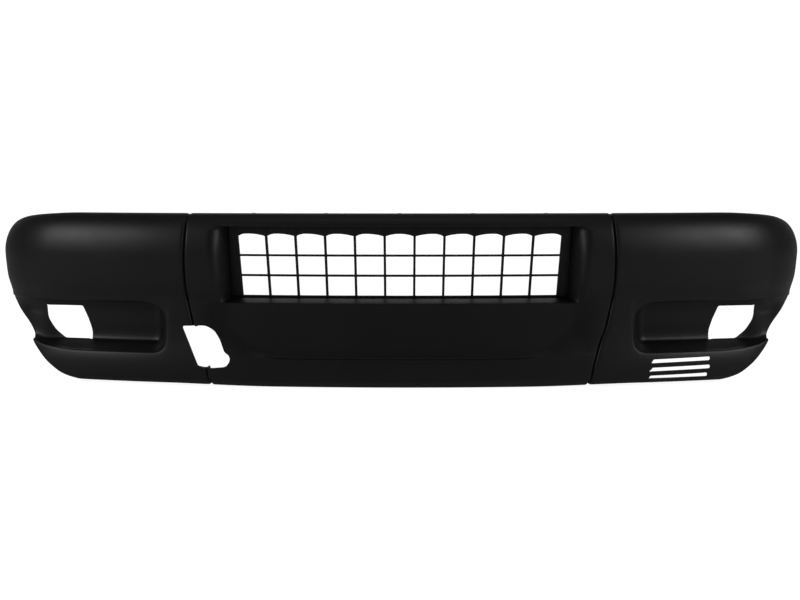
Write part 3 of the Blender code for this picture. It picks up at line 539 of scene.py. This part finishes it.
def rounded(corners, steps=6):
    """Outline of (x, z, radius) corners with each corner turned into an arc-like curve."""
    points = []
    count = len(corners)
    for k, (x, z, radius) in enumerate(corners):
        here = Vector((x, z))
        before = Vector(corners[k - 1][:2]) - here
        after = Vector(corners[(k + 1) % count][:2]) - here
        start = here + before.normalized() * min(radius, before.length * 0.49)
        end = here + after.normalized() * min(radius, after.length * 0.49)
        for step in range(steps + 1):
            t = step / steps
            point = start * (1 - t) ** 2 + here * 2 * t * (1 - t) + end * t * t
            points.append((point.x, point.y))
    return points


def inside_outline(x, z, outline):
    """Whether (x, z) lies inside a closed outline."""
    crossed = False
    for (x0, z0), (x1, z1) in zip(outline, outline[1:] + outline[:1]):
        if (z0 > z) != (z1 > z) and x < x0 + (z - z0) * (x1 - x0) / (z1 - z0):
            crossed = not crossed
    return crossed


def off_outline(x, z, outline):
    """Distance of (x, z) from a closed outline."""
    best = 1.0
    point = Vector((x, z))
    for a, b in zip(outline, outline[1:] + outline[:1]):
        a, b = Vector(a), Vector(b)
        along = b - a
        share = min(1.0, max(0.0, (point - a).dot(along) / max(along.length_squared, 1e-12)))
        best = min(best, (point - a - along * share).length)
    return best


knife = bpy.data.materials.new("knife")


def cut_opening(panel, outline, near, far, turn_in):
    """Cuts an outline through the open panel along Y and turns its edge inwards by turn_in."""
    deselect()
    bpy.ops.mesh.primitive_circle_add(vertices=len(outline), fill_type="NOTHING")
    blade = bpy.context.active_object
    for vertex, (x, z) in zip(blade.data.vertices, outline):
        vertex.co = (x, near, z)
    bpy.ops.object.mode_set(mode="EDIT")
    bpy.ops.mesh.select_mode(type="EDGE")
    bpy.ops.mesh.select_all(action="SELECT")
    bpy.ops.mesh.extrude_region_move(TRANSFORM_OT_translate={"value": (0, far - near, 0)})
    bpy.ops.object.mode_set(mode="OBJECT")
    blade.data.materials.append(knife)
    deselect()
    blade.select_set(True)
    panel.select_set(True)
    bpy.context.view_layer.objects.active = panel
    bpy.ops.object.join()
    slot = panel.data.materials.find("knife")
    bpy.ops.object.mode_set(mode="EDIT")
    bpy.ops.mesh.select_mode(type="FACE")
    bpy.ops.mesh.select_all(action="DESELECT")
    bpy.ops.object.mode_set(mode="OBJECT")
    for face in panel.data.polygons:
        face.select = face.material_index == slot
    bpy.ops.object.mode_set(mode="EDIT")
    bpy.ops.mesh.intersect(mode="SELECT_UNSELECT", separate_mode="NONE", solver="FAST")
    bpy.ops.object.mode_set(mode="OBJECT")
    gone = set()
    for face in panel.data.polygons:
        x, y, z = face.center
        if face.material_index == slot:
            gone.add(face.index)
        elif near < y < far and inside_outline(x, z, outline):
            gone.add(face.index)
    drop_faces(panel, gone)
    panel.data.materials.pop(index=slot)
    uses = {}
    for face in panel.data.polygons:
        for key in face.edge_keys:
            uses[key] = uses.get(key, 0) + 1
    bpy.ops.object.mode_set(mode="EDIT")
    bpy.ops.mesh.select_mode(type="EDGE")
    bpy.ops.mesh.select_all(action="DESELECT")
    bpy.ops.object.mode_set(mode="OBJECT")
    for edge in panel.data.edges:
        ends = [panel.data.vertices[k].co for k in edge.vertices]
        close = all(near < end.y < far and off_outline(end.x, end.z, outline) < 1e-4 for end in ends)
        edge.select = uses.get(edge.key, 0) == 1 and close
    bpy.ops.object.mode_set(mode="EDIT")
    for share in (0.3, 0.7):
        bpy.ops.mesh.extrude_region_move(TRANSFORM_OT_translate={"value": (0, turn_in * share, 0)})
    bpy.ops.object.mode_set(mode="OBJECT")


def give_wall(panel):
    """Makes the open panel a closed moulding of even thickness, shaded smooth."""
    deselect()
    panel.select_set(True)
    bpy.context.view_layer.objects.active = panel
    apply_modifier(panel, "SOLIDIFY", thickness=WALL, offset=-1)
    bpy.ops.object.shade_smooth_by_angle(angle=math.radians(38))


# Black talc-filled polypropylene, with the fine leather-like grain of its steel mould: almost no
# body colour, and a broad soft sheen where the grain scatters the lights.
GRAIN_PITCH_MM = 1.3  # coarser than such grain usually is, so that it can show


def grained_plastic(name, hollow="0e0e0f", ridge="141415", roughness=(0.38, 0.44)):
    """Moulded polypropylene material with grain."""
    made = bpy.data.materials.new(name)
    made.use_nodes = True
    surface = made.node_tree.nodes["Principled BSDF"]
    where = add_node(made, "ShaderNodeTexCoord")
    grain = add_node(
        made,
        "ShaderNodeTexVoronoi",
        {"Scale": 1000 / GRAIN_PITCH_MM, "feature": "SMOOTH_F1", "Smoothness": 0.6},
        {"Vector": (where, "Object")},
    )
    flow = add_node(
        made,
        "ShaderNodeTexNoise",
        {"Scale": 9.0, "Detail": 3.0, "Roughness": 0.6},
        {"Vector": (where, "Object")},
    )
    bump = add_node(
        made, "ShaderNodeBump", {"Strength": 0.22, "Distance": 0.0004}, {"Height": (grain, "Distance")}
    )
    tint = add_node(made, "ShaderNodeMix", {"data_type": "RGBA"}, {"Factor": (grain, "Distance")})
    tint.inputs[6].default_value = linear(hollow)
    tint.inputs[7].default_value = linear(ridge)
    sheen = add_node(
        made,
        "ShaderNodeMapRange",
        {"From Min": 0.3, "From Max": 0.7, "To Min": roughness[0], "To Max": roughness[1]},
        {"Value": (flow, "Fac")},
    )
    links = made.node_tree.links
    links.new(tint.outputs[2], surface.inputs["Base Color"])
    links.new(sheen.outputs["Result"], surface.inputs["Roughness"])
    links.new(bump.outputs["Normal"], surface.inputs["Normal"])
    surface.inputs["IOR"].default_value = 1.49
    return made


polypropylene = grained_plastic("grained_black_polypropylene")

# The opening for the screw-in tow eye lies across the joint on the vehicle's right: distance
# from the middle, height and corner radius
TOW_EYE = (
    (0.5060, 0.1380, 0.007),
    (0.4480, 0.1400, 0.012),
    (0.4280, 0.1270, 0.008),
    (0.4160, 0.1080, 0.008),
    (0.4050, 0.0790, 0.006),
    (0.3930, 0.0715, 0.006),
    (0.3910, 0.0600, 0.006),
    (0.4010, 0.0450, 0.008),
    (0.4380, 0.0415, 0.010),
    (0.4670, 0.0470, 0.004),
)
tow_eye_outline = rounded([(-x, z, radius) for x, z, radius in TOW_EYE])

points, middle, reach = centre_grid()
cover = grid_panel("middle_moulding", points)
across = len(points) - 1
drop_faces(
    cover,
    {
        row * across + column
        for row in range(DUCT_CEILING_ROW, DUCT_FLOOR_ROW)
        for column in range(middle - reach, middle + reach)
    },
)
face_outwards(cover)
smooth_panel(cover)
cut_opening(cover, tow_eye_outline, FRONT_Y - 0.02, FRONT_Y + 0.13, 0.009)
give_wall(cover)
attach(cover, "root")
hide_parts("centre_cover")


# ---------------------------------------------------------------------------
# End caps: the two outer mouldings of the same polypropylene. Each wraps round the corner to
# the wheel arch and holds a lamp recess with a shaped opening in its back wall. Three cooling
# slots are cut under the recess of the left one only.

CAP_EDGE_RADIUS = 0.008
ARCH_FLANGE = 0.012
RECESS_TOP = 0.1915
RECESS_LIP = 0.0735
RECESS_INNER = 0.546
RECESS_RAMP = 0.046
RECESS_DEPTH = 0.055
RECESS_FLOOR_RISE = 0.021
RECESS_LEAN = 0.18  # share of its depth by which the back wall leans forwards at its top
RECESS_CORNER = 0.070

LAMP_OUTLINE = (
    (0.8525, 0.1760, 0.004),
    (0.7610, 0.1760, 0.004),
    (0.7465, 0.1460, 0.010),
    (0.7370, 0.1180, 0.010),
    (0.7365, 0.0975, 0.004),
    (0.8060, 0.0975, 0.006),
    (0.8305, 0.1160, 0.010),
    (0.8495, 0.1445, 0.012),
)

SLOTS = ((0.0175, 0.580, 0.723), (0.0360, 0.585, 0.730), (0.0550, 0.588, 0.730))  # z, start, end
SLOT_HEIGHT = 0.0088
SLOT_TILT = 0.018


def arch(z):
    """s of the wheel arch edge at height z; above the arch it is the rear end."""
    line = (
        (0.000, SIDE_S - 0.352),
        (0.012, SIDE_S - 0.318),
        (0.038, SIDE_S - 0.278),
        (0.065, SIDE_S - 0.246),
        (0.100, SIDE_S - 0.222),
        (0.120, SIDE_S - 0.202),
        (0.146, SIDE_S - 0.158),
        (0.171, SIDE_S - 0.098),
        (0.190, SIDE_S - 0.040),
        (0.225, REAR_S),
    )
    return smooth(line, z)


def recess_depth(s):
    """Depth of the lamp recess, which runs out towards the wheel arch as the skin turns away."""
    line = (
        (0.62, RECESS_DEPTH),
        (CORNER_S - 0.04, RECESS_DEPTH * 0.85),
        (CORNER_S + 0.01, RECESS_DEPTH * 0.70),
        (CORNER_S + 0.07, RECESS_DEPTH * 0.28),
        (CORNER_S + 0.11, RECESS_DEPTH * 0.10),
    )
    return smooth(line, s) * ease((s - RECESS_INNER) / RECESS_RAMP)


def recess_top(s):
    turn = min(1.0, max(0.0, (RECESS_INNER + RECESS_CORNER - s) / RECESS_CORNER))
    return RECESS_TOP - 0.058 * (1 - math.sqrt(1 - turn * turn))


def recess_lip(s):
    """Height of the lip under the recess, turned up at the inner end and at the corner."""
    turn = min(1.0, max(0.0, (RECESS_INNER + 0.045 - s) / 0.045))
    sweep = smooth(
        (
            (CORNER_S - 0.05, 0.0),
            (CORNER_S - 0.02, 0.003),
            (CORNER_S + 0.032, 0.010),
            (CORNER_S + 0.068, 0.020),
            (CORNER_S + 0.105, 0.038),
        ),
        s,
    )
    return RECESS_LIP + 0.030 * (1 - math.sqrt(1 - turn * turn)) + sweep


def cap_rows(s):
    """Rows (o, z) of an end cap at s."""
    radius = EDGE_RADIUS
    rows = top_rows((90, 82, 70, 58, 46, 34, 22, 10, 0))
    for share in (0.2, 0.42, 0.64, 0.84):
        z = mix(CROWN_HEIGHT, TUCK_HEIGHT, share)
        rows.append((skin(z), z))
    rows.append((skin(RECESS_TOP + 0.012), RECESS_TOP + 0.012))
    top, lip = recess_top(s), recess_lip(s)
    depth = recess_depth(s)
    cut = ease((s - RECESS_INNER) / RECESS_RAMP)
    floor = max(lip + 0.006, min(RECESS_LIP + RECESS_FLOOR_RISE, lip + RECESS_FLOOR_RISE))
    span = top - floor
    near = min(radius, span * 0.1)
    small = min(radius, depth * 0.3)
    flat = [top + radius * 1.2, top + radius * 0.5, top - near * 0.3, top - near * 1.1]
    flat += [top - near * 2.0, top - near * 3.0]
    flat += [mix(top, floor, share) for share in (0.36, 0.5, 0.64, 0.78)]
    flat += [floor + near * 1.4, floor + near * 0.7, floor, mix(floor, lip, 0.5)]
    flat += [lip + near * 0.8, lip + near * 0.2, lip - near * 0.5, lip - radius]
    deep = [
        (0.0, top + radius * 1.2),
        (small * 0.15, top + radius * 0.35),
        (small * 0.8, top),
        (max(small * 2, depth * 0.5), top - span * 0.01),
        (max(small * 2, depth * (1 - RECESS_LEAN) - radius), top - span * 0.02),
        (depth * (1 - RECESS_LEAN) - small * 0.2, top - radius * 1.2),
        (depth * (1 - RECESS_LEAN * 0.8), flat[6]),
        (depth * (1 - RECESS_LEAN * 0.55), flat[7]),
        (depth * (1 - RECESS_LEAN * 0.3), flat[8]),
        (depth, flat[9]),
        (depth, floor + radius * 1.2),
        (max(small * 2, depth - radius * 0.6), floor + radius * 0.3),
        (max(small * 1.9, depth - radius * 2), floor - radius * 0.3),
        (mix(small * 1.4, max(small * 1.9, depth - radius * 2), 0.5), mix(lip + radius * 0.3, floor, 0.5)),
        (small * 1.4, lip + radius * 0.35),
        (small * 0.8, lip + radius * 0.55),
        (small * 0.1, lip + radius * 0.1),
        (0.0, lip - radius),
    ]
    for z, (into, height) in zip(flat, deep):
        height = mix(z, height, cut)
        rows.append((skin(height) + into, height))
    rows.append((skin(0.055), mix(0.055, RECESS_LIP, 0.2)))
    rows.append((skin(CHIN_HEIGHT), CHIN_HEIGHT * 0.95))
    rows += bottom_rows()
    return rows


def cap_grid(side):
    """Outer points of an end cap; side is -1 on the left and 1 on the right."""
    bent = 0.612
    last = 0.838
    fixed = [0.549, 0.553, 0.558, 0.563, 0.569, 0.576, 0.584, 0.596, bent]
    fixed += [0.64, 0.68, 0.72, 0.76, 0.80, last]
    kinds = [("fold", 1.0), ("fold", 0.6), ("fold", 0.25), ("round", 0.0), ("round", 0.4)]
    kinds += [("near", v) for v in (0.0, 0.35, 0.75)]
    kinds += [("fixed", v) for v in (RECESS_INNER, *fixed)]
    kinds += [("far", v) for v in (0.12, 0.24, 0.36, 0.48, 0.6, 0.72, 0.82, 0.92, 1.0)]
    kinds += [("arch_round", 0.4), ("arch_round", 0.0), ("arch_fold", 0.4), ("arch_fold", 1.0)]
    columns = []
    for kind, value in kinds:
        guess = {"near": 0.51, "fixed": value, "far": mix(last, arch(0.13), value)}.get(kind, 0.5)
        if kind.startswith("arch"):
            guess = arch(0.13)
        column = []
        for row, (_, z) in enumerate(cap_rows(guess)):
            start = seam(z) + SHUT_LINE / 2
            slope = (arch(z + 0.002) - arch(z - 0.002)) / 0.004
            arch_radius = EDGE_RADIUS * min(2.8, math.sqrt(1 + slope * slope))
            end = arch(z) - arch_radius
            fixed_end = min(last, mix(bent, end, 0.8))
            if kind == "near":
                s = mix(start + CAP_EDGE_RADIUS, RECESS_INNER, value)
            elif kind == "fixed":
                s = value if value <= bent else mix(bent, fixed_end, (value - bent) / (last - bent))
            elif kind == "far":
                s = mix(fixed_end, end, value)
            elif kind.startswith("arch"):
                s = end
            else:
                s = start + CAP_EDGE_RADIUS
            o, z = cap_rows(s)[row]
            fold = Vector((0, 0))
            if kind in ("round", "fold"):
                fold = Vector(fold_of(z, o, JOINT_FLANGE))
                radius = CAP_EDGE_RADIUS
            elif kind.startswith("arch"):
                fold = Vector(fold_of(z, o, ARCH_FLANGE))
                radius = EDGE_RADIUS
            length = fold.length
            if kind == "round":
                s -= radius * (0.75 - 0.35 * (value > 0))
                fold = fold.normalized() * min(radius * (0.25 - 0.18 * (value > 0)), length * 0.5)
            elif kind == "fold":
                s -= radius
                fold = fold.normalized() * mix(min(radius, length * 0.5), length, (value - 0.25) / 0.75)
            elif kind == "arch_round":
                s += arch_radius * (0.75 - 0.35 * (value > 0))
                fold = fold.normalized() * min(radius * (0.25 - 0.18 * (value > 0)), length * 0.5)
            elif kind == "arch_fold":
                s += arch_radius
                fold = fold.normalized() * mix(min(radius, length * 0.5), length, (value - 0.4) / 0.6)
            column.append(place(side * s, o + fold.x, trim(s, z + fold.y)))
        columns.append(column)
    return columns


for side, name, node in (
    (-1, "right_end_moulding", "right_end_cap"),
    (1, "left_end_moulding", "left_end_cap"),
):
    cap = grid_panel(name, cap_grid(side))
    face_outwards(cap)
    smooth_panel(cap)
    lamp = rounded([(side * x, z, radius) for x, z, radius in LAMP_OUTLINE])
    cut_opening(cap, lamp, FRONT_Y + 0.10, 0.10, 0.006)
    if side > 0:
        for height, start, end in SLOTS:
            half = SLOT_HEIGHT / 2
            rise = SLOT_TILT * (end - start)
            corners = (
                (start - 0.003, height - half, 0.0025),
                (end, height - half + rise, half),
                (end, height + half + rise, half),
                (start + 0.003, height + half, 0.0025),
            )
            cut_opening(cap, rounded(corners, 4), FRONT_Y, FRONT_Y + 0.17, 0.006)
    else:
        cut_opening(cap, tow_eye_outline, FRONT_Y - 0.02, FRONT_Y + 0.13, 0.009)
    give_wall(cap)
    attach(cap, "root")
    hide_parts(node)


# ---------------------------------------------------------------------------
# Grille: a lattice injected in one piece, at the back of the duct. Its frame is screwed to the
# duct, its bars are drafted and softly rounded, and its upper cells end in flat arches.

GRILLE_DEPTH = 0.016
GRILLE_LEAN = 0.022
GRILLE_COLUMNS = 11
GRILLE_ROWS = 3
GRILLE_BAR = 0.0058  # upright bars
GRILLE_LEVEL_BAR = 0.0048
GRILLE_HALF_TOP = 0.3880
GRILLE_HALF_BOTTOM = 0.3810
GRILLE_HEAD = 0.0200
GRILLE_SILL = 0.0035
GRILLE_ARCH = 0.0055
GRILLE_GAP = 0.0006
CELL_STEPS = 8

bottom = LIP_HEIGHT + DUCT_RISE - GRILLE_GAP  # it sits down on the duct's floor
top = MOUTH_TOP - GRILLE_GAP
low, high = bottom + 2 * GRILLE_GAP + GRILLE_SILL, top - GRILLE_HEAD
heights = [bottom, low]
for row in range(1, GRILLE_ROWS):
    z = mix(low, high, row / GRILLE_ROWS)
    heights += [z - GRILLE_LEVEL_BAR / 2, z + GRILLE_LEVEL_BAR / 2]
heights += [high, top]

grid_points = []
cells = []
for column in range(GRILLE_COLUMNS):
    for step in range(CELL_STEPS + 1):
        share = step / CELL_STEPS
        grid_points.append((column, share))
for column, share in [(None, -1)] + grid_points + [(None, 1)]:
    line = []
    for z in heights:
        if column is None:
            s = share * (DUCT_HALF - GRILLE_GAP)
        else:
            cell_half = mix(GRILLE_HALF_BOTTOM, GRILLE_HALF_TOP, (z - low) / (high - low))
            pitch = 2 * cell_half / GRILLE_COLUMNS
            start = -cell_half + column * pitch + GRILLE_BAR / 2
            s = start + share * (pitch - GRILLE_BAR)
            if z == high:
                peak = 0.34 if column < (GRILLE_COLUMNS - 1) / 2 else 0.66
                if column == (GRILLE_COLUMNS - 1) / 2:
                    peak = 0.5
                off = (share - peak) / (peak if share < peak else 1 - peak)
                z += GRILLE_ARCH * (1 - abs(off) ** 2.2) - GRILLE_ARCH * 0.35
        lean = (z - bottom) / (top - bottom)
        line.append((s, DUCT_DEPTH - GRILLE_LEAN * lean - 0.004, z))
    cells.append(line)
grille = grid_panel("lattice_grille", [[place(*point) for point in line] for line in cells])
across = len(cells) - 1
drop_faces(
    grille,
    {
        row * across + column
        for row in range(1, len(heights) - 2, 2)
        for column in range(across)
        if 0 < column < across - 1 and (column - 1) % (CELL_STEPS + 1) != CELL_STEPS
    },
)
face_outwards(grille)
bpy.ops.object.mode_set(mode="EDIT")
bpy.ops.mesh.select_all(action="SELECT")
bpy.ops.mesh.extrude_region_move(TRANSFORM_OT_translate={"value": (0, GRILLE_DEPTH, 0)})
bpy.ops.mesh.select_all(action="SELECT")
bpy.ops.mesh.normals_make_consistent(inside=False)
bpy.ops.object.mode_set(mode="OBJECT")
apply_modifier(grille, "BEVEL", width=0.0007, segments=2, limit_method="ANGLE", angle_limit=math.radians(40))
bpy.ops.object.shade_smooth_by_angle(angle=math.radians(35))
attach(grille, "root")
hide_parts("grille_insert")


# ---------------------------------------------------------------------------
# Sheet steel: brackets, strips and stays with a satin black electrophoretic coat, which leaves
# rounded edges and a slight orange-peel sheen.


def coated_steel():
    made = bpy.data.materials.new("black_electrocoated_steel")
    made.use_nodes = True
    surface = made.node_tree.nodes["Principled BSDF"]
    where = add_node(made, "ShaderNodeTexCoord")
    peel = add_node(
        made,
        "ShaderNodeTexNoise",
        {"Scale": 1000 / 3.0, "Detail": 2.0},
        {"Vector": (where, "Object")},
    )
    cloud = add_node(
        made, "ShaderNodeTexNoise", {"Scale": 25.0, "Detail": 4.0}, {"Vector": (where, "Object")}
    )
    tint = add_node(made, "ShaderNodeMix", {"data_type": "RGBA"}, {"Factor": (cloud, "Fac")})
    tint.inputs[6].default_value = linear("1b1c1e")
    tint.inputs[7].default_value = linear("2a2b2d")
    bump = add_node(
        made, "ShaderNodeBump", {"Strength": 0.1, "Distance": 0.0003}, {"Height": (peel, "Fac")}
    )
    sheen = add_node(
        made, "ShaderNodeMapRange", {"To Min": 0.28, "To Max": 0.42}, {"Value": (cloud, "Fac")}
    )
    links = made.node_tree.links
    links.new(tint.outputs[2], surface.inputs["Base Color"])
    links.new(sheen.outputs["Result"], surface.inputs["Roughness"])
    links.new(bump.outputs["Normal"], surface.inputs["Normal"])
    return made


def soften(piece, width, material):
    """Gives a carried-over piece its material and small rounded edges."""
    piece.data.materials.clear()
    piece.data.materials.append(material)
    edge = piece.modifiers.new("edge", "BEVEL")
    edge.width = width
    edge.segments = 2
    edge.limit_method = "ANGLE"
    edge.angle_limit = math.radians(40)
    edge.harden_normals = True
    deselect()
    piece.select_set(True)
    bpy.context.view_layer.objects.active = piece
    bpy.ops.object.shade_smooth_by_angle(angle=math.radians(35))


electrocoat = coated_steel()
for node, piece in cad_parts.items():
    if any(word in node for word in ("bracket", "stiffener", "strip", "stay")):
        soften(piece, 0.0004, electrocoat)


# ---------------------------------------------------------------------------
# Fasteners: cold-headed steel bolts, nuts and screws with clear blue zinc plating.


def zinc_plating():
    made = bpy.data.materials.new("zinc_plated_steel")
    made.use_nodes = True
    surface = made.node_tree.nodes["Principled BSDF"]
    where = add_node(made, "ShaderNodeTexCoord")
    cloud = add_node(
        made, "ShaderNodeTexNoise", {"Scale": 220.0, "Detail": 4.0}, {"Vector": (where, "Object")}
    )
    tint = add_node(made, "ShaderNodeMix", {"data_type": "RGBA"}, {"Factor": (cloud, "Fac")})
    tint.inputs[6].default_value = linear("b9bdc2")
    tint.inputs[7].default_value = linear("d3d3cc")
    sheen = add_node(
        made, "ShaderNodeMapRange", {"To Min": 0.24, "To Max": 0.40}, {"Value": (cloud, "Fac")}
    )
    links = made.node_tree.links
    links.new(tint.outputs[2], surface.inputs["Base Color"])
    links.new(sheen.outputs["Result"], surface.inputs["Roughness"])
    surface.inputs["Metallic"].default_value = 1.0
    return made


zinc = zinc_plating()
for node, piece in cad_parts.items():
    if any(word in node for word in ("bolt", "nut", "screw")):
        soften(piece, 0.0003, zinc)
